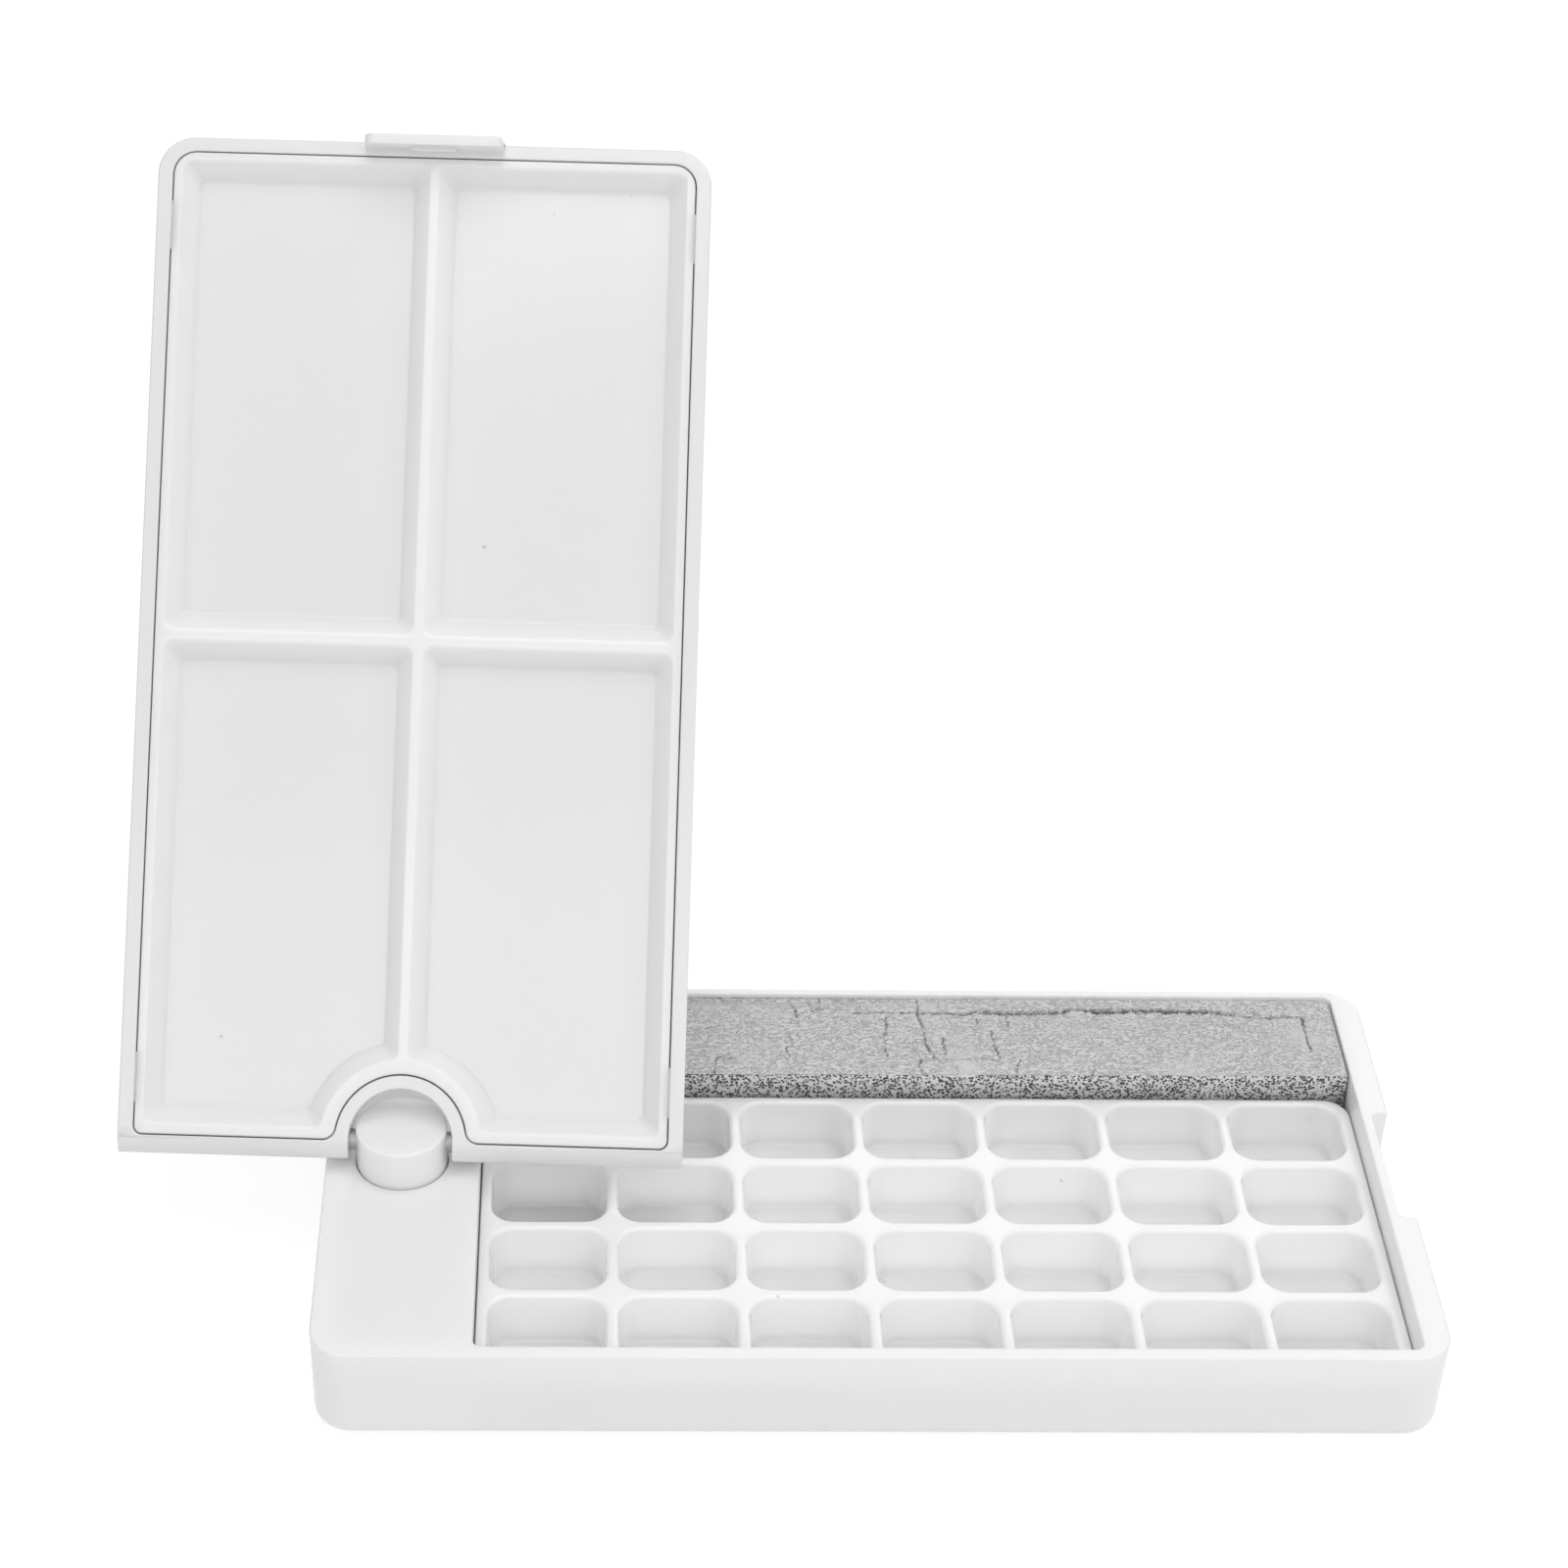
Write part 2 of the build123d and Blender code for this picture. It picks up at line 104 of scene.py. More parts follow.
class Finish:
    """One procedural material and the expressions that make it."""

    def __init__(self, name):
        self.material = bpy.data.materials.new(name)
        self.material.use_nodes = True
        self.tree = self.material.node_tree
        self.surface = self.tree.nodes["Principled BSDF"]
        self.place = self.node("ShaderNodeTexCoord").outputs["Object"]

    def node(self, kind, settings=None, sockets=None):
        """Adds a node: its settings first, then its sockets by name or in order."""
        made = self.tree.nodes.new(kind)
        for setting, value in (settings or {}).items():
            setattr(made, setting, value)
        pairs = sockets.items() if isinstance(sockets, dict) else enumerate(sockets or [])
        for key, value in pairs:
            self.feed(made.inputs[key], value)
        return made

    def feed(self, socket, value):
        """Sets a socket, or links it when the value is a field or another socket."""
        if isinstance(value, Field):
            value = value.socket
        if isinstance(value, bpy.types.NodeSocket):
            self.tree.links.new(value, socket)
        else:
            socket.default_value = value

    def noise(self, scale, detail=2.0, roughness=0.5, stretch=None):
        """Smooth noise with this many features in a metre; a small stretch draws it out along an axis."""
        place = self.place
        if stretch:
            place = self.node("ShaderNodeMapping", sockets={"Vector": place, "Scale": stretch}).outputs[0]
        made = self.node(
            "ShaderNodeTexNoise",
            sockets={"Vector": place, "Scale": scale, "Detail": detail, "Roughness": roughness},
        )
        return Field(self, made.outputs[0])

    def cells(self, scale):
        """Distance to the nearest of a scatter of points, with this many in a metre."""
        made = self.node("ShaderNodeTexVoronoi", sockets={"Vector": self.place, "Scale": scale})
        return Field(self, made.outputs["Distance"])

    def ramp(self, value, low, high):
        """0 below low and 1 above high, with a smooth step between."""
        made = self.node(
            "ShaderNodeMapRange",
            {"interpolation_type": "SMOOTHSTEP"},
            {"Value": value, "From Min": low, "From Max": high},
        )
        return Field(self, made.outputs[0])

    def blend(self, factor, first, second):
        """A colour between two colours."""
        sockets = {MIX_FACTOR: factor, MIX_FIRST: first, MIX_SECOND: second}
        return self.node("ShaderNodeMix", {"data_type": "RGBA"}, sockets).outputs[MIX_RESULT]

    def height(self):
        """Height over the table, in metres."""
        made = self.node("ShaderNodeSeparateXYZ", sockets=[self.place])
        return Field(self, made.outputs["Z"])

    def attribute(self, name):
        made = self.node("ShaderNodeAttribute", {"attribute_name": name})
        return Field(self, made.outputs["Fac"])

    def bump(self, height, strength, distance):
        made = self.node(
            "ShaderNodeBump",
            sockets={"Strength": strength, "Distance": distance, "Height": height},
        )
        self.feed(self.surface.inputs["Normal"], made.outputs[0])

    def set(self, **sockets):
        """Feeds the shader: names as on its sockets, with underscores for spaces."""
        for name, value in sockets.items():
            self.feed(self.surface.inputs[name.replace("_", " ")], value)


def grey(level):
    return (level, level, level, 1.0)


def white_plastic(name, level, roughness, depth, specks=0.0):
    """Glossy white moulded plastic, a little translucent: faint mottling, soft ripples and stray dust."""
    finish = Finish(name)
    mottle = finish.noise(28.0, 3.0)
    shade = finish.blend(mottle, grey(level - 0.012), grey(level + 0.012))
    if specks:
        dust = finish.cells(95.0) < 0.035
        chance = finish.noise(42.0, 0.0) > 0.62
        shade = finish.blend(dust * chance * specks, shade, grey(level * 0.55))
    rubbed = finish.noise(140.0, 4.0, 0.65)
    scuffs = finish.ramp(finish.noise(900.0, 2.0, stretch=(1.0, 0.12, 1.0)), 0.6, 0.75)
    finish.set(
        Base_Color=shade,
        Roughness=roughness + 0.07 * rubbed + 0.05 * scuffs,
        IOR=1.49,
        Subsurface_Weight=depth,
        Subsurface_Scale=0.004,
        Subsurface_Radius=(1.0, 1.0, 1.0),
    )
    ripple = finish.noise(16.0, 1.0) + 0.04 * finish.noise(1400.0, 2.0)
    finish.bump(ripple, 0.25, 0.0006)
    return finish.material


def plain_steel(name, level, roughness):
    """Plain steel wire and screw heads, with turning marks."""
    finish = Finish(name)
    lines = finish.noise(700.0, 3.0, stretch=(0.05, 1.0, 1.0))
    tarnish = finish.noise(120.0, 3.0)
    finish.set(
        Base_Color=finish.blend(tarnish, grey(level - 0.05), grey(level + 0.05)),
        Metallic=1.0,
        Roughness=roughness + 0.16 * lines,
    )
    finish.bump(lines, 0.12, 0.0002)
    return finish.material


# Camera, light and table

# The camera of the photograph, solved from the box's edges
CAMERA_PLACE = (-0.0570, -0.5458, 0.4938)
CAMERA_LOOK = (0.0218, 0.8259, -0.5634)
CAMERA_UP = (-0.0069, 0.5636, 0.8260)
SENSOR, LENS = 36.0, 80.71
CAMERA_SHIFT = (0.0752, -0.0160)

ROOM_LIGHT = 0.44
# Each soft box: its name, place, size and power in watts
LAMPS = (
    ("overhead", (0.05, -0.1, 1.2), (1.0, 0.9), 4.8),
    ("left_side", (-1.0, -0.5, 0.6), (0.12, 0.5), 0.7),
    ("right_side", (1.0, -0.5, 0.6), (0.12, 0.5), 1.2),
    ("behind", (0.45, 1.2, 0.85), (1.3, 0.6), 3.0),
    ("front", (0.1, -1.1, 0.75), (1.4, 0.6), 3.5),
)
LAMP_TARGET = (0.0, 0.0, 0.05)
TABLE_REACH = 3.0
TABLE_WHITE = 0.86
TABLE_GLOW, GLOW_SHARE = 1.16, 0.72


def aim_camera():
    """Sets up the camera: its place, its direction and its framing."""
    look, upward = Vector(CAMERA_LOOK), Vector(CAMERA_UP)
    right = look.cross(upward).normalized()
    turn = Matrix((right, upward, -look)).transposed().normalized()
    data = bpy.data.cameras.new("camera")
    data.sensor_width = SENSOR
    data.lens = LENS
    data.shift_x, data.shift_y = CAMERA_SHIFT
    data.clip_start = 0.05
    data.clip_end = 20.0
    camera = bpy.data.objects.new("camera", data)
    camera.matrix_world = Matrix.Translation(CAMERA_PLACE) @ turn.to_4x4()
    bpy.context.scene.collection.objects.link(camera)
    bpy.context.scene.camera = camera


def add_lamp(name, place, size, power):
    data = bpy.data.lights.new(name, "AREA")
    data.shape = "RECTANGLE"
    data.size, data.size_y = size
    data.energy = power
    lamp = bpy.data.objects.new(name, data)
    lamp.location = place
    lamp.rotation_mode = "QUATERNION"
    lamp.rotation_quaternion = (Vector(LAMP_TARGET) - Vector(place)).to_track_quat("-Z", "Y")
    bpy.context.scene.collection.objects.link(lamp)


def shown_as_backdrop(tree, lighting, backdrop):
    """The backdrop shader for rays from the camera, mirrors and glass; the lighting one for the rest."""
    path = tree.nodes.new("ShaderNodeLightPath")
    shader = lighting
    for ray in ("Is Camera Ray", "Is Glossy Ray", "Is Transmission Ray"):
        mix = tree.nodes.new("ShaderNodeMixShader")
        tree.links.new(path.outputs[ray], mix.inputs[0])
        tree.links.new(shader, mix.inputs[1])
        tree.links.new(backdrop, mix.inputs[2])
        shader = mix.outputs[0]
    return shader


def light_room():
    """An even pale room, white where it is seen, with soft boxes all round."""
    world = bpy.data.worlds.new("pale_room")
    world.use_nodes = True
    tree = world.node_tree
    room = tree.nodes["Background"]
    white = tree.nodes.new("ShaderNodeBackground")
    for background, strength in ((room, ROOM_LIGHT), (white, 1.0)):
        background.inputs["Color"].default_value = grey(1.0)
        background.inputs["Strength"].default_value = strength
    shown = shown_as_backdrop(tree, room.outputs[0], white.outputs[0])
    tree.links.new(shown, tree.nodes["World Output"].inputs["Surface"])
    bpy.context.scene.world = world
    for name, place, size, power in LAMPS:
        add_lamp(name, place, size, power)


def lay_table():
    """A white table: it keeps the object's soft shadow and is white elsewhere to the rays that see it."""
    mesh = bpy.data.meshes.new("table")
    corners = [(x * TABLE_REACH, y * TABLE_REACH, 0) for x, y in ((-1, -1), (1, -1), (1, 1), (-1, 1))]
    mesh.from_pydata(corners, [], [(0, 1, 2, 3)])
    table = bpy.data.objects.new("table", mesh)
    bpy.context.scene.collection.objects.link(table)
    finish = Finish("white_table")
    finish.set(Base_Color=grey(TABLE_WHITE), Roughness=0.9)
    glow = finish.node("ShaderNodeEmission", sockets={"Color": grey(1.0), "Strength": TABLE_GLOW})
    plain = finish.surface.outputs[0]
    lit = finish.node("ShaderNodeMixShader", sockets=[GLOW_SHARE, plain, glow.outputs[0]])
    shown = shown_as_backdrop(finish.tree, plain, lit.outputs[0])
    finish.feed(finish.tree.nodes["Material Output"].inputs["Surface"], shown)
    mesh.materials.append(finish.material)


# Pieces


def new_piece(name, mesh, material):
    """Puts a smooth mesh in the scene."""
    mesh.shade_smooth()
    mesh.materials.append(material)
    piece = bpy.data.objects.new(name, mesh)
    bpy.context.scene.collection.objects.link(piece)
    return piece


def even_normals(piece, keep_sharp=False):
    """Keeps large flat faces flat beside their rounds."""
    weighted = piece.modifiers.new("even_normals", "WEIGHTED_NORMAL")
    weighted.mode = "FACE_AREA"
    weighted.weight = 90
    weighted.keep_sharp = keep_sharp


def stand_for(piece, node, body):
    """Lets a piece ride on a body, in place of its CAD node."""
    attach(piece, body)
    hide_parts(node)


def to_mesh(form, name):
    """Turns a form into a mesh and lets the form go."""
    mesh = bpy.data.meshes.new(name)
    form.to_mesh(mesh)
    form.free()
    return mesh


# Moulded pieces, built from outlines at known heights

CORNER_STEPS = 10
BEND_STEPS = 6
JOINED_WITHIN, TOUCHING = 1e-5, 1e-6


class Moulding:
    """A smooth closed piece made of rings: outlines of one count of points at given heights."""

    def __init__(self, name, place):
        self.name = name
        self.place = place
        self.form = bmesh.new()

    def ring(self, outline, height):
        return [self.form.verts.new((x, y, height)) for x, y in outline]

    def skin(self, first, second):
        """Quads between two rings."""
        count = len(first)
        for i in range(count):
            j = (i + 1) % count
            self.form.faces.new((first[i], first[j], second[j], second[i]))

    def stack(self, outlines):
        """Skins a list of (outline, height) pairs in order and returns the rings."""
        rings = [self.ring(outline, height) for outline, height in outlines]
        for first, second in zip(rings, rings[1:]):
            self.skin(first, second)
        return rings

    def cap(self, ring):
        self.form.faces.new(ring)

    def deck(self, edge, holes):
        """Fills the flat surface inside an edge ring and outside the rings of its holes."""
        loops = [edge] + holes
        points, borders, owners = [], [], []
        for loop in loops:
            start = len(points)
            for k, vertex in enumerate(loop):
                points.append(Vector((vertex.co.x, vertex.co.y)))
                owners.append(vertex)
                borders.append((start + k, start + (k + 1) % len(loop)))
        found, _, triangles, origins, _, _ = delaunay_2d_cdt(points, borders, [], 0, TOUCHING)
        owner = {}
        for index, sources in enumerate(origins):
            if sources:
                owner[index] = owners[sources[0]]
        rims = [[(v.co.x, v.co.y) for v in loop] for loop in loops]
        for triangle in triangles:
            x = sum(found[i].x for i in triangle) / 3
            y = sum(found[i].y for i in triangle) / 3
            if not inside(rims[0], x, y) or any(inside(rim, x, y) for rim in rims[1:]):
                continue
            corners = [owner[i] for i in triangle]
            if len(set(corners)) == 3:
                self.form.faces.new(corners)

    def block(self, low, size, height, thickness):
        """A plain block, such as a snap nub."""
        (x, y), (length, width) = low, size
        outline = [(x, y), (x + length, y), (x + length, y + width), (x, y + width)]
        rings = self.stack([(outline, height), (outline, height + thickness)])
        for ring in rings:
            self.cap(ring)

    def finish(self, material, node, body, slot):
        """Turns the rings into one object that rides on its body and stands for its CAD node."""
        bmesh.ops.remove_doubles(self.form, verts=self.form.verts, dist=JOINED_WITHIN)
        bmesh.ops.recalc_face_normals(self.form, faces=self.form.faces)
        mesh = to_mesh(self.form, self.name)
        mesh.transform(self.place)
        piece = new_piece(self.name, mesh, material)
        even_normals(piece)
        stand_for(piece, node, body)


def inside(rim, x, y):
    """True when a point lies inside a closed polygon."""
    result = False
    for (ax, ay), (bx, by) in zip(rim, rim[1:] + rim[:1]):
        if (ay > y) != (by > y) and x < (bx - ax) * (y - ay) / (by - ay) + ax:
            result = not result
    return result


def arc(centre, radius, start, end, steps=CORNER_STEPS):
    """Points along an arc, with its angles in degrees."""
    cx, cy = centre
    angles = [radians(start + (end - start) * k / steps) for k in range(steps + 1)]
    return [(cx + radius * cos(a), cy + radius * sin(a)) for a in angles]


def rounded_outline(low, high, radii, grow=0.0):
    """A rectangle grown by a margin; radii in order back right, back left, front left, front right."""
    left, front, right, back = low[0] - grow, low[1] - grow, high[0] + grow, high[1] + grow
    back_right, back_left, front_left, front_right = [radius + grow for radius in radii]
    return (
        arc((right - back_right, back - back_right), back_right, 0, 90)
        + arc((left + back_left, back - back_left), back_left, 90, 180)
        + arc((left + front_left, front + front_left), front_left, 180, 270)
        + arc((right - front_right, front + front_right), front_right, 270, 360)
    )


def rounding(radius, steps=BEND_STEPS):
    """How far a quarter round goes in and down, from its flat top to its upright side."""
    turns = [pi / 2 * k / steps for k in range(steps + 1)]
    return [(radius * (1 - sin(t)), radius * (1 - cos(t))) for t in turns]


# Paint tray

COLUMNS, ROWS = 7, 4
RIB_LENGTHWISE, RIB_ACROSS = 2.4, 2.3
LEFT_BORDER, RIGHT_BORDER, FRONT_BORDER, BACK_BORDER = 2.2, 2.6, 3.4, 1.8
WELL_CORNER = 4.8
WELL_DEPTH = 11.2
WELL_LIP = 0.85
WELL_FLOOR_ROUND = 1.2
WELL_DRAFT = 0.45
TRAY_EDGE = 0.5
TRAY_SKIRT = 1.8
TRAY_FOOT = 1.2
TRAY_RADII = (5.5, 5.5, 1.5, 1.5)


def well_profile():
    """Inset and depth down one side of a well: lip, drafted wall and floor round."""
    lip = [(-inward, down) for inward, down in rounding(WELL_LIP)]
    floor = [
        (WELL_DRAFT + WELL_FLOOR_ROUND * (1 - cos(t)), WELL_DEPTH - WELL_FLOOR_ROUND * (1 - sin(t)))
        for t in (pi / 2 * k / BEND_STEPS for k in range(BEND_STEPS + 1))
    ]
    return lip + floor


def make_paint_tray(material):
    low, high = (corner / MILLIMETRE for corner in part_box("paint_tray"))
    tray = Moulding("paint_tray_moulding", Matrix.Scale(MILLIMETRE, 4))
    top, bottom = high.z, low.z
    length = (high.x - low.x - LEFT_BORDER - RIGHT_BORDER - (COLUMNS - 1) * RIB_ACROSS) / COLUMNS
    width = (high.y - low.y - FRONT_BORDER - BACK_BORDER - (ROWS - 1) * RIB_LENGTHWISE) / ROWS
    mouths = []
    for column in range(COLUMNS):
        for row in range(ROWS):
            left = low.x + LEFT_BORDER + column * (length + RIB_ACROSS)
            front = low.y + FRONT_BORDER + row * (width + RIB_LENGTHWISE)
            near, far = (left, front), (left + length, front + width)
            corners = [WELL_CORNER] * 4
            outlines = [
                (rounded_outline(near, far, corners, -inset), top - depth) for inset, depth in well_profile()
            ]
            rings = tray.stack(outlines)
            tray.cap(rings[-1])
            mouths.append(rings[0])

    def edge(grow):
        return rounded_outline(low, high, TRAY_RADII, grow)

    rings = tray.stack(
        [(edge(-inward), top - down) for inward, down in rounding(TRAY_EDGE)]
        + [(edge(0), bottom), (edge(-TRAY_SKIRT), bottom), (edge(-TRAY_SKIRT), bottom + TRAY_FOOT)]
    )
    tray.cap(rings[-1])
    tray.deck(rings[0], mouths)
    tray.finish(material, "paint_tray", "base", "white_tray")


# Mixing tray

OPEN_ANGLE = 129.0
MIX_TOP, MIX_BOTTOM, MIX_UNDERSIDE = 4.85, -2.0, -0.95
MIX_FAR, MIX_HALF = 201.45, 53.75
MIX_RING = 13.4
MIX_NEAR_RADIUS, MIX_FAR_RADIUS, MIX_BEND = 1.6, 4.6, 2.6
MIX_EDGE = 0.35
MIX_SKIRT = 1.4
MIX_NEAR_FLANGE, MIX_FLANGE, MIX_RING_FLANGE = 2.2, 1.7, 2.9
MIX_RIDGE, MIX_CROSS_RIDGE = 1.8, 2.4
MIX_CROSS = 101.425
MIX_SLOPE, MIX_DEPTH = 3.4, 4.6
MIX_CORNER, MIX_FLOOR_CORNER = 2.0, 1.2
CRISP, SOFT = 0.5, 1.5
NOTCH_STEPS, RING_STEPS = 48, 24
NUB_LENGTH, NUB_REACH, NUB_HEIGHT, NUB_DROP = 10.0, 0.15, 2.0, 0.3
NUB_PLACES = (11.3, 186.25)


def lid_place():
    """From the lid's own millimetres (along, across, out of its inner face) to the frame at rest."""
    hinge = next(joint for joint in frame["joints"] if joint["name"] == "lid_tilt")
    across = -Vector(hinge["axis"])
    level = Vector((0, 0, 1)).cross(across)
    tilt = radians(OPEN_ANGLE)
    along = cos(tilt) * level + sin(tilt) * Vector((0, 0, 1))
    turn = Matrix((along, across, along.cross(across))).transposed().to_4x4()
    return Matrix.Translation(hinge["pos_m"]) @ turn @ Matrix.Scale(MILLIMETRE, 4)


def mixing_edge(grow):
    """Outline of the mixing tray: a rectangle with a round notch for the knob."""
    near, far, half = -grow, MIX_FAR + grow, MIX_HALF + grow
    ring, bend = MIX_RING - grow, MIX_BEND + grow
    near_radius, far_radius = MIX_NEAR_RADIUS + grow, MIX_FAR_RADIUS + grow
    bend_across = sqrt((ring + bend) ** 2 - (near + bend) ** 2)
    turn = atan2(bend_across, near + bend) * 180 / pi
    return (
        arc((near + near_radius, near_radius - half), near_radius, 180, 270)
        + arc((far - far_radius, far_radius - half), far_radius, 270, 360)
        + arc((far - far_radius, half - far_radius), far_radius, 0, 90)
        + arc((near + near_radius, half - near_radius), near_radius, 90, 180)
        + arc((near + bend, bend_across), bend, 180, 180 + turn)
        + arc((0, 0), ring, turn, -turn, NOTCH_STEPS)[1:-1]
        + arc((near + bend, -bend_across), bend, 180 - turn, 180)
    )


def slope_inset(depth, lip, foot):
    """How far a well's slope has come in at a depth, with rounds of these radii at its two ends."""
    tilt = atan2(MIX_DEPTH, MIX_SLOPE)
    fall = 1 - cos(tilt)
    if depth < lip * fall:
        return lip * (sin(acos(1 - depth / lip)) - tan(tilt / 2))
    left = MIX_DEPTH - depth
    if left < foot * fall:
        return MIX_SLOPE - foot * (sin(acos(1 - max(left, 0) / foot)) - tan(tilt / 2))
    return MIX_SLOPE * depth / MIX_DEPTH


def slope_depths():
    """Depths at which both the crisp and the soft rounds are drawn well."""
    tilt = atan2(MIX_DEPTH, MIX_SLOPE)
    turns = [tilt * k / BEND_STEPS for k in range(BEND_STEPS + 1)]
    falls = [radius * (1 - cos(turn)) for radius in (CRISP, SOFT) for turn in turns]
    depths = sorted(set(round(fall, 4) for fall in falls))
    return depths + [MIX_DEPTH - depth for depth in reversed(depths)]


def mixing_well(side, start, end, near_ring, depth):
    """Outline of a mixing well at a depth: side is 1 or -1, near_ring adds the arc round the knob."""
    crisp = slope_inset(depth, CRISP, CRISP)
    soft = slope_inset(depth, SOFT, SOFT)
    near, far = start + soft, end - soft
    ridge, edge = MIX_RIDGE / 2 + crisp, MIX_HALF - MIX_FLANGE - crisp
    corner = MIX_CORNER + (MIX_FLOOR_CORNER - MIX_CORNER) * crisp / MIX_SLOPE
    outline = (
        arc((far - corner, ridge + corner), corner, 270, 360)
        + arc((far - corner, edge - corner), corner, 0, 90)
        + arc((near + corner, edge - corner), corner, 90, 180)
    )
    if near_ring:
        ring = MIX_RING + MIX_RING_FLANGE + crisp
        across = sqrt((ring + corner) ** 2 - (near + corner) ** 2)
        along = sqrt((ring + corner) ** 2 - (ridge + corner) ** 2)
        first = atan2(across, near + corner) * 180 / pi
        last = atan2(ridge + corner, along) * 180 / pi
        outline += arc((near + corner, across), corner, 180, 180 + first)
        outline += arc((0, 0), ring, first, last, RING_STEPS)[1:-1]
        outline += arc((along, ridge + corner), corner, 180 + last, 270)
    else:
        outline += arc((near + corner, ridge + corner), corner, 180, 270)
    return [(x, side * y) for x, y in outline]


def make_mixing_tray(material):
    tray = Moulding("mixing_tray_moulding", lid_place())
    mouths = []
    lengths = (
        (MIX_NEAR_FLANGE, MIX_CROSS - MIX_CROSS_RIDGE / 2, True),
        (MIX_CROSS + MIX_CROSS_RIDGE / 2, MIX_FAR - MIX_FLANGE, False),
    )
    for side in (-1, 1):
        for start, end, near_ring in lengths:
            outlines = [
                (mixing_well(side, start, end, near_ring, depth), MIX_TOP - depth)
                for depth in slope_depths()
            ]
            rings = tray.stack(outlines)
            tray.deck(rings[-1], [])
            mouths.append(rings[0])
    rings = tray.stack(
        [(mixing_edge(-inward), MIX_TOP - down) for inward, down in rounding(MIX_EDGE)]
        + [(mixing_edge(0), MIX_BOTTOM), (mixing_edge(-MIX_SKIRT), MIX_BOTTOM)]
        + [(mixing_edge(-MIX_SKIRT), MIX_UNDERSIDE)]
    )
    tray.deck(rings[-1], [])
    tray.deck(rings[0], mouths)
    for middle in NUB_PLACES:
        for side in (-1, 1):
            size = (NUB_LENGTH, MIX_SKIRT + NUB_REACH)
            low = (middle - NUB_LENGTH / 2, side * (MIX_HALF + NUB_REACH / 2) - size[1] / 2)
            tray.block(low, size, MIX_TOP - NUB_DROP - NUB_HEIGHT, NUB_HEIGHT)
    tray.finish(material, "mixing_tray", "lid", "white_tray")


# Knob

KNOB_EDGE = 0.55
KNOB_STEM = 5.0
KNOB_SHOULDER = 16.4
KNOB_STEPS = 128


def make_knob(material):
    """The turned knob: a round edge above, the shoulder and the stem below."""
    low, high = (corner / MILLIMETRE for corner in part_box("swivel_knob"))
    centre = ((low.x + high.x) / 2, (low.y + high.y) / 2)
    radius = (high.x - low.x) / 2
    knob = Moulding("swivel_knob_moulding", Matrix.Scale(MILLIMETRE, 4))
    profile = [(radius - inward, high.z - down) for inward, down in rounding(KNOB_EDGE)]
    profile += [(radius, KNOB_SHOULDER), (KNOB_STEM, KNOB_SHOULDER), (KNOB_STEM, low.z)]
    rings = knob.stack([(arc(centre, reach, 0, 360, KNOB_STEPS)[1:], height) for reach, height in profile])
    knob.cap(rings[0])
    knob.cap(rings[-1])
    knob.finish(material, "swivel_knob", "turret", "white_knob")


# Case and lid

MOULDED_EDGE = 0.3
ROUNDED_FROM = 60.0
SHARP_FROM = 50.0
FLAT_WITHIN = 0.5


def soften(node, body, material):
    """A copy of a CAD piece with its sharp edges rounded, as moulded edges are."""
    form = bmesh.new()
    form.from_mesh(frame["nodes"][node].data)
    bmesh.ops.remove_doubles(form, verts=form.verts, dist=TOUCHING)
    bmesh.ops.dissolve_limit(form, angle_limit=radians(FLAT_WITHIN), verts=form.verts, edges=form.edges)
    sharp = [edge for edge in form.edges if edge.calc_face_angle(0.0) > radians(ROUNDED_FROM)]
    bmesh.ops.bevel(
        form,
        geom=sharp,
        offset=MOULDED_EDGE * MILLIMETRE,
        segments=3,
        profile=0.5,
        affect="EDGES",
        clamp_overlap=False,
    )
    mesh = to_mesh(form, node + "_moulding")
    mesh.set_sharp_from_angle(angle=radians(SHARP_FROM))
    piece = new_piece(node + "_moulding", mesh, material)
    even_normals(piece, keep_sharp=True)
    stand_for(piece, node, body)


# Sponge

SPONGE_STEP = 0.25
SPONGE_HIDDEN = -38.0
SPONGE_EDGE = 0.45
SIDE_STEPS, EDGE_STEPS, HIDDEN_STEPS = 6, 4, 40
# Heights of the tray's top and of the sponge's first fine row below it
TRAY_LEVEL, FINE_FROM = 15.6, 14.6
FRONT_WEAR, BACK_SLUMP = 0.7, 0.9
SAG, SAG_WAVE = 0.25, 0.2
CUT_BULGE = 0.15

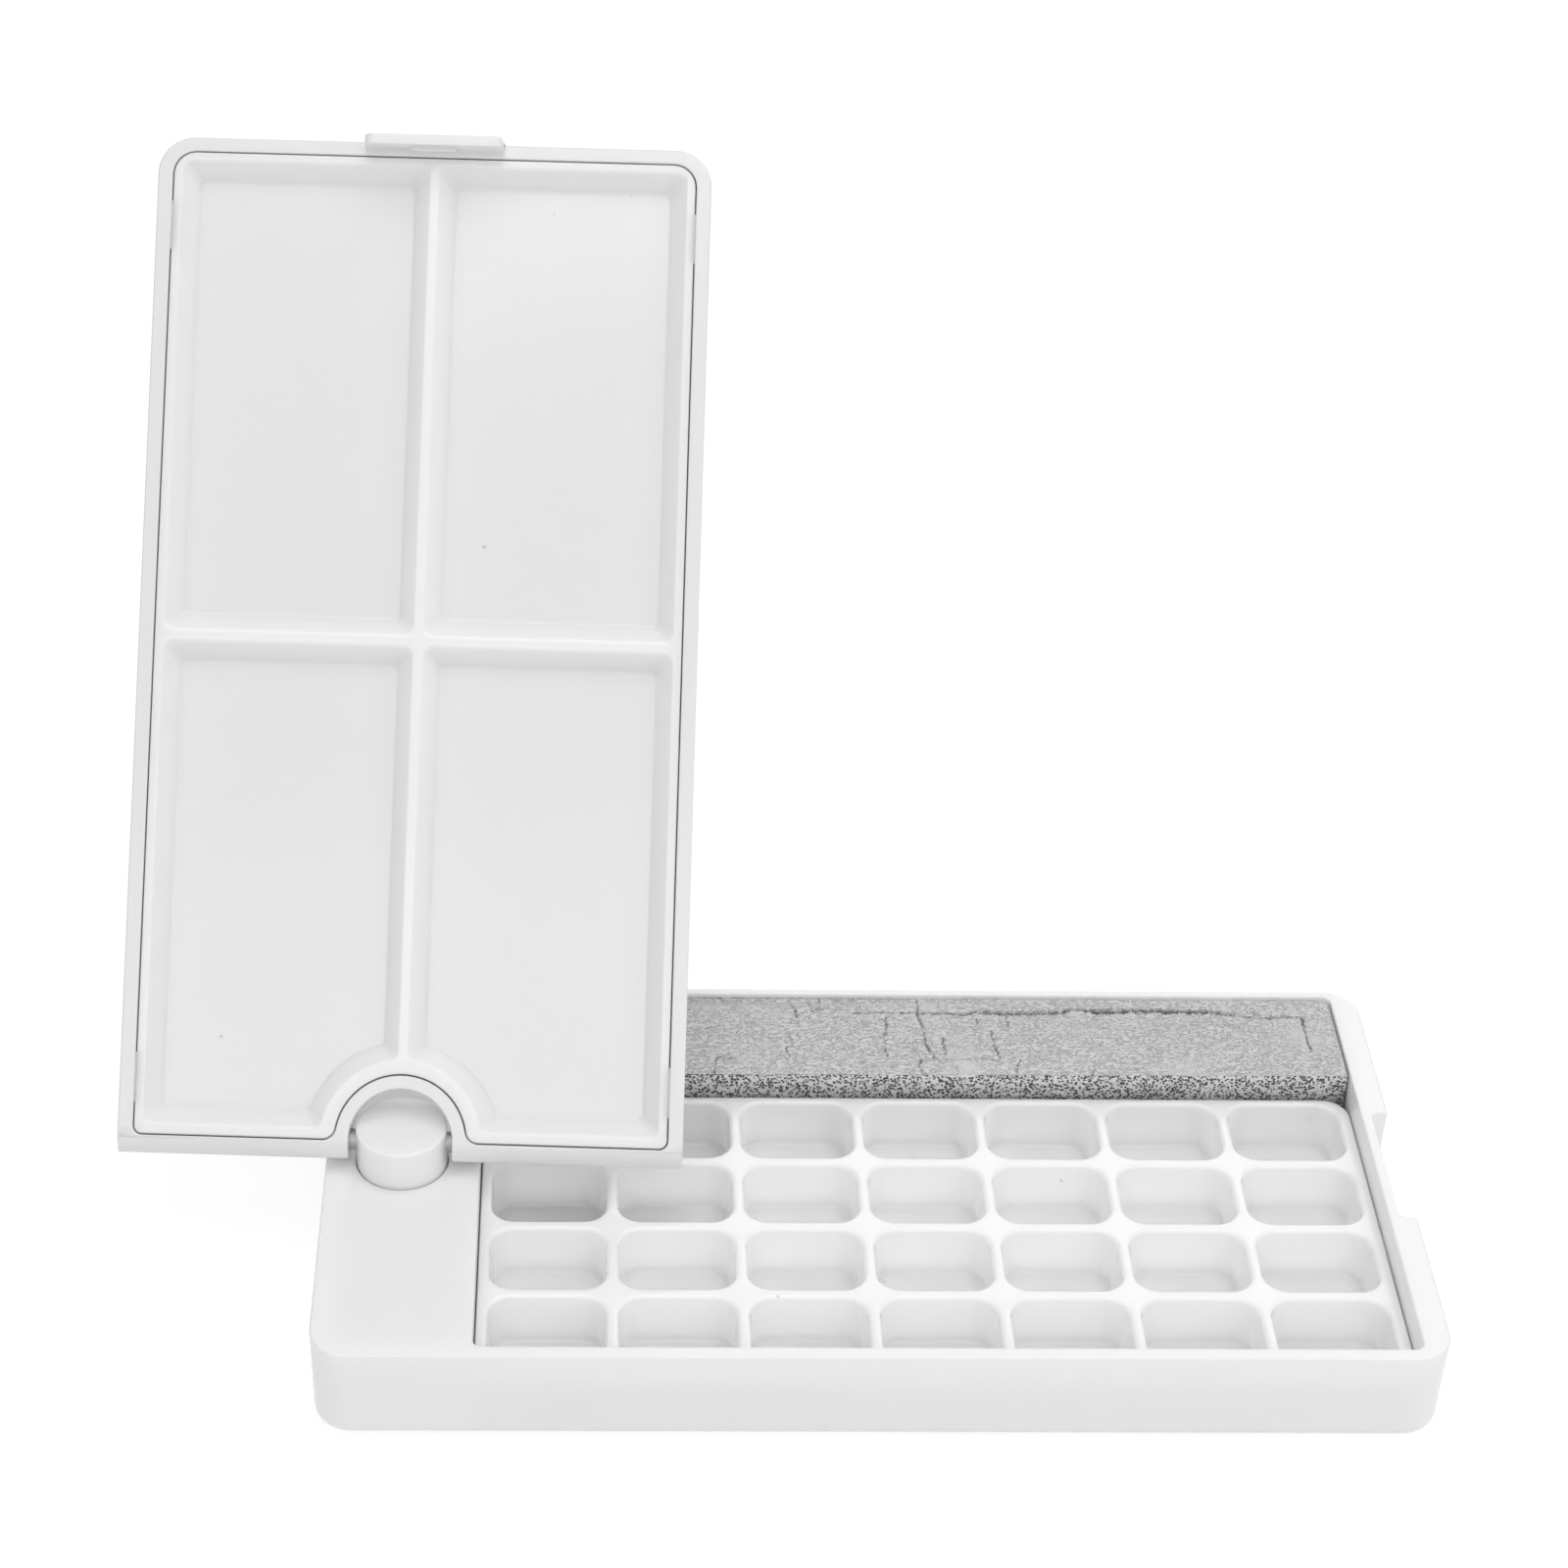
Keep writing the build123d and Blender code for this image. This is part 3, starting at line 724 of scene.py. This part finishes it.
# Routes of the cracks over the sponge's top, as (x, y), with each one's width and depth
CRACKS = (
    (0.34, 0.7, ((0.4, 49.6), (14.0, 49.7), (20.4, 49.7))),
    (0.75, 0.8, ((20.4, 49.7), (24.6, 49.6), (27.0, 50.3), (34.0, 50.1), (40.5, 50.0), (49.2, 51.0))),
    (0.75, 0.8, ((49.2, 51.0), (55.5, 50.7), (62.0, 51.1), (73.6, 50.9), (77.4, 50.9))),
    (0.42, 0.8, ((77.4, 50.9), (83.0, 49.9), (88.3, 49.3), (93.6, 49.3), (97.5, 48.7))),
    (0.42, 0.8, ((97.5, 48.7), (97.3, 43.0), (97.5, 37.6))),
    (0.30, 0.5, ((-13.2, 54.6), (-12.1, 49.5), (-11.6, 46.1))),
    (0.26, 0.4, ((-6.5, 54.6), (-7.6, 50.2))),
    (0.24, 0.3, ((-9.1, 53.9), (-8.5, 49.5))),
    (0.24, 0.4, ((-13.9, 41.4), (-13.2, 38.7), (-14.7, 37.7), (-14.0, 34.8))),
    (0.30, 0.5, ((7.1, 48.6), (7.3, 44.9), (6.4, 41.2), (6.6, 34.3))),
    (0.34, 0.6, ((14.6, 54.8), (14.0, 49.7), (14.9, 45.6), (15.2, 39.5), (16.6, 34.7))),
    (0.36, 0.7, ((13.8, 33.7), (13.3, 31.7), (14.3, 28.1))),
    (0.30, 0.5, ((-25.7, 34.0), (-29.6, 34.1), (-30.2, 28.4))),
    (0.26, 0.5, ((18.8, 41.3), (19.4, 35.7))),
    (0.24, 0.4, ((26.8, 48.1), (27.1, 44.7))),
    (0.32, 0.6, ((29.6, 44.1), (29.8, 39.1), (30.6, 34.8))),
    (0.28, 0.5, ((33.3, 49.9), (33.5, 45.5))),
    (0.30, 0.6, ((35.2, 34.2), (34.0, 30.9), (34.0, 28.3))),
    (0.24, 0.4, ((21.2, 31.8), (21.4, 28.3))),
    (0.24, 0.5, ((50.4, 32.3), (49.8, 28.3))),
    (0.20, 0.25, ((16.0, 34.0), (26.4, 34.2), (32.6, 34.1))),
)
# The loose skin between the long crack and this fold has sunk a little
FOLD = 36.0


def distance_to_route(x, y, route):
    """Shortest distance from a point to a line of straight stretches."""
    nearest = 1e9
    for (ax, ay), (bx, by) in zip(route, route[1:]):
        dx, dy = bx - ax, by - ay
        share = max(0.0, min(1.0, ((x - ax) * dx + (y - ay) * dy) / (dx * dx + dy * dy)))
        nearest = min(nearest, hypot(x - ax - share * dx, y - ay - share * dy))
    return nearest


def smooth(value, low, high):
    """0 below low and 1 above high, with a soft step between."""
    share = max(0.0, min(1.0, (value - low) / (high - low)))
    return share * share * (3 - 2 * share)


def crack_at(x, y):
    """How deep the sponge's top is cracked at a point, in millimetres, and how much painted shade the crack
    gets, from 0 to 1.
    """
    x, y = (
        x + 0.45 * noise.noise((x * 0.8, y * 0.8, 3.0)) + 0.3 * noise.noise((x * 2.4, y * 2.4, 9.0)),
        y + 0.4 * noise.noise((x * 0.8, y * 0.8, 13.0)) + 0.4 * noise.noise((x * 2.4, y * 2.4, 19.0)),
    )
    breadth = 0.8 + 0.9 * noise.noise((x / 1.3, y / 2.0, 4.0))
    depth, shade = 0.0, 0.0
    for width, deep, route in CRACKS:
        if not min(p[0] for p in route) - 2 < x < max(p[0] for p in route) + 2:
            continue
        if not min(p[1] for p in route) - 2 < y < max(p[1] for p in route) + 2:
            continue
        away = distance_to_route(x, y, route)
        share = 1 - smooth(away, 0.0, 0.85 * width * max(breadth, 0.5))
        depth = max(depth, deep * share)
        shade = max(shade, share * min(1.0, 0.3 + deep))
    return depth, shade


def sunk_at(x, y):
    """How far the loose skin in front of the long crack has sunk, less the raised lip behind it."""
    along = smooth(x, 22.0, 34.0) * (1 - smooth(x, 90.0, 97.0))
    behind = 50.4 - 0.6 * smooth(x, 80.0, 96.0)
    across = smooth(y, FOLD, behind) * (1 - smooth(y, behind, behind + 0.35))
    lip = smooth(y, behind + 0.3, behind + 0.9) * (1 - smooth(y, behind + 0.9, behind + 2.4))
    return along * (0.45 * across - 0.2 * lip)


def sponge_section(front, back, bottom, top):
    """Outline of the sponge across its length: (y, z, how much it faces up, how much it is a cut side)."""
    outline = []
    for k in range(SIDE_STEPS):
        outline.append((front, bottom + (FINE_FROM - bottom) * k / SIDE_STEPS, 0, 1.0))
    steps = round((top - SPONGE_EDGE - FINE_FROM) / SPONGE_STEP)
    for k in range(steps):
        outline.append((front, FINE_FROM + (top - SPONGE_EDGE - FINE_FROM) * k / steps, 0, 1.0))
    for k in range(EDGE_STEPS + 1):
        turn = pi / 2 * k / EDGE_STEPS
        y = front + SPONGE_EDGE * (1 - cos(turn))
        z = top - SPONGE_EDGE * (1 - sin(turn))
        outline.append((y, z, sin(turn), 1 - smooth(k / EDGE_STEPS, 0.1, 0.6)))
    flat = back - front - 2 * SPONGE_EDGE
    steps = round(flat / SPONGE_STEP)
    for k in range(1, steps):
        outline.append((front + SPONGE_EDGE + flat * k / steps, top, 1, 0.0))
    for k in range(EDGE_STEPS + 1):
        turn = pi / 2 * k / EDGE_STEPS
        y = back - SPONGE_EDGE * (1 - sin(turn))
        z = top - SPONGE_EDGE * (1 - cos(turn))
        outline.append((y, z, cos(turn), smooth(k / EDGE_STEPS, 0.7, 1.0)))
    for k in range(1, SIDE_STEPS + 1):
        outline.append((back, top - SPONGE_EDGE - (top - SPONGE_EDGE - bottom) * k / SIDE_STEPS, 0, 1.0))
    for k in range(1, SIDE_STEPS):
        outline.append((back - (back - front) * k / SIDE_STEPS, bottom, -1, 1.0))
    return outline


def make_sponge(material):
    """A dry block of sponge: a wrinkled skin on top, cracked as in use, and open pores where it is cut."""
    low, high = (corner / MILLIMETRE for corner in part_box("sponge"))
    middle = (low.y + high.y) / 2
    stations = [low.x + (SPONGE_HIDDEN - low.x) * k / HIDDEN_STEPS for k in range(HIDDEN_STEPS)]
    seen = high.x - SPONGE_EDGE - SPONGE_HIDDEN
    count = round(seen / SPONGE_STEP)
    stations += [SPONGE_HIDDEN + seen * k / count for k in range(count + 1)]
    section = sponge_section(low.y, high.y, low.z, high.z)
    form = bmesh.new()
    crack_shade_layer = form.verts.layers.float.new("crack")
    cut_layer = form.verts.layers.float.new("cut")

    def station(x, inset, cut_end):
        """The section at a place along the sponge, cracked and sunk on top and uneven on its cut front."""
        ring = []
        worn = FRONT_WEAR * (1 - smooth(x, SPONGE_HIDDEN, high.x))
        for y, z, facing_up, cut in section:
            y += -inset if y > middle else inset
            z -= inset if facing_up > 0.2 or z > high.z - 1 else 0.0
            depth, shade = 0.0, 0.0
            if facing_up > 0.3:
                depth, shade = crack_at(x, y)
                sag = sunk_at(x, y) + SAG + SAG_WAVE * noise.noise((x / 14.0, y / 9.0, 1.0))
                slump = BACK_SLUMP * (1 - smooth(x, -5.0, 24.0)) * smooth(y, high.y - 4.0, high.y)
                slump += worn * (1 - smooth(y, low.y - 1.0, low.y + 3.0))
                z -= (depth + sag + slump) * facing_up
            elif y < middle:
                z -= worn * smooth(z, TRAY_LEVEL, high.z)
            wave = 0.22 * noise.noise((x / 5.0, z / 6.0, 5.0)) + 0.12 * noise.noise((x / 1.6, z / 1.6, 7.0))
            if y < middle and cut > 0.02 and z > TRAY_LEVEL - 2:
                y += (CUT_BULGE + wave) * min(1.0, cut + 0.3)
            vertex = form.verts.new((x, y, z))
            vertex[crack_shade_layer] = shade
            vertex[cut_layer] = max(cut, cut_end)
            ring.append(vertex)
        return ring

    rings = [station(x, 0.0, 0.0) for x in stations]
    for k in range(1, EDGE_STEPS + 1):
        turn = pi / 2 * k / EDGE_STEPS
        place, inset = high.x - SPONGE_EDGE * (1 - sin(turn)), SPONGE_EDGE * (1 - cos(turn))
        rings.append(station(place, inset, k / EDGE_STEPS))
    size = len(section)
    for first, second in zip(rings, rings[1:]):
        for i in range(size):
            j = (i + 1) % size
            form.faces.new((first[i], second[i], second[j], first[j]))
    form.faces.new(rings[0])
    form.faces.new(list(reversed(rings[-1])))
    bmesh.ops.recalc_face_normals(form, faces=form.faces)
    mesh = to_mesh(form, "sponge_block")
    mesh.transform(Matrix.Scale(MILLIMETRE, 4))
    piece = new_piece("sponge_block", mesh, material)
    stand_for(piece, "sponge", "base")


def grey_sponge(name):
    """Dry grey sponge: a leathery skin with fine wrinkles and cracks, and open pores on cut sides, with
    painted shade in its creases, cracks and pores and towards the bottom of its cut side.
    """
    finish = Finish(name)
    cut = finish.attribute("cut")
    crack = finish.attribute("crack")
    patches = finish.noise(60.0, 3.0)
    fine = finish.noise(3200.0, 2.0, 0.6, stretch=(0.5, 1.0, 1.0))
    folds = finish.noise(1500.0, 2.0, 0.6, stretch=(0.42, 1.0, 1.0))
    crease = (1.0 - finish.ramp((folds - 0.5).math("ABSOLUTE"), 0.0, 0.05)) * finish.ramp(patches, 0.2, 0.5)
    pores = finish.cells(1700.0)
    size = finish.noise(600.0, 2.0)
    hole = 1.0 - finish.ramp(pores, 0.04 + 0.3 * size, 0.3 + 0.55 * size)
    # painted shade: the cut side is coloured darker towards the tray below it
    low = 1.0 - finish.ramp(finish.height(), 0.0152, 0.0215)
    skin = finish.blend(patches, grey(0.62), grey(0.70))
    # painted shade: the skin is darkened along its creases
    skin = finish.blend(0.42 * crease, skin, grey(0.28))
    skin = finish.blend(0.5 * finish.ramp(fine, 0.35, 0.65), skin, grey(0.72))
    web = finish.blend(low, grey(0.82), grey(0.44))
    # painted shade: the pores are coloured near black for the shade inside them
    inner = finish.blend(hole, web, grey(0.05))
    edge = finish.ramp(cut, 0.05, 0.35) * (1.0 - finish.ramp(cut, 0.5, 0.9))
    shade = finish.blend(finish.ramp(cut, 0.3, 0.8), skin, inner)
    shade = finish.blend(edge * finish.ramp(size, 0.35, 0.5), shade, grey(0.86))
    # painted shade: the cracks are coloured near black
    shade = finish.blend(crack * 0.9, shade, grey(0.06))
    finish.set(Base_Color=shade, Roughness=0.82 + 0.1 * patches, Specular_IOR_Level=0.25)
    relief = (1.0 - cut) * (0.3 * fine - 0.5 * crease) - 1.2 * (cut * hole)
    finish.bump(relief, 0.8, 0.0006)
    return finish.material


# Make everything

aim_camera()
light_room()
lay_table()

case_white = white_plastic("white_case_plastic", 0.92, 0.18, 0.5)
# painted shade: the lid's white is a darker copy of the same white plastic
lid_white_shaded = white_plastic("white_lid_plastic_shaded", 0.81, 0.14, 0.15)
mixing_white = white_plastic("white_mixing_plastic", 0.885, 0.11, 0.4, specks=0.6)
tray_white = white_plastic("white_tray_plastic", 0.97, 0.07, 0.7, specks=0.6)
knob_white = white_plastic("white_knob_plastic", 0.90, 0.18, 0.5)
steel = plain_steel("bright_steel", 0.60, 0.22)
satin = plain_steel("satin_steel", 0.46, 0.5)
foam = grey_sponge("grey_sponge")

node_finish = {
    "base_case": case_white,
    "lid_shell": lid_white_shaded,
    "mixing_tray": mixing_white,
    "swivel_knob": knob_white,
    "hinge_pin": satin,
    "spring_washer": steel,
    "plain_washer": steel,
    "swivel_screw": steel,
    "sponge": foam,
    "paint_tray": tray_white,
}
for name, material in node_finish.items():
    mesh = frame["nodes"][name].data
    mesh.materials.clear()
    mesh.materials.append(material)

make_paint_tray(tray_white)
make_mixing_tray(mixing_white)
make_knob(knob_white)
make_sponge(foam)
soften("base_case", "base", case_white)
soften("lid_shell", "lid", lid_white_shaded)

bpy.context.scene.view_settings.view_transform = "Standard"
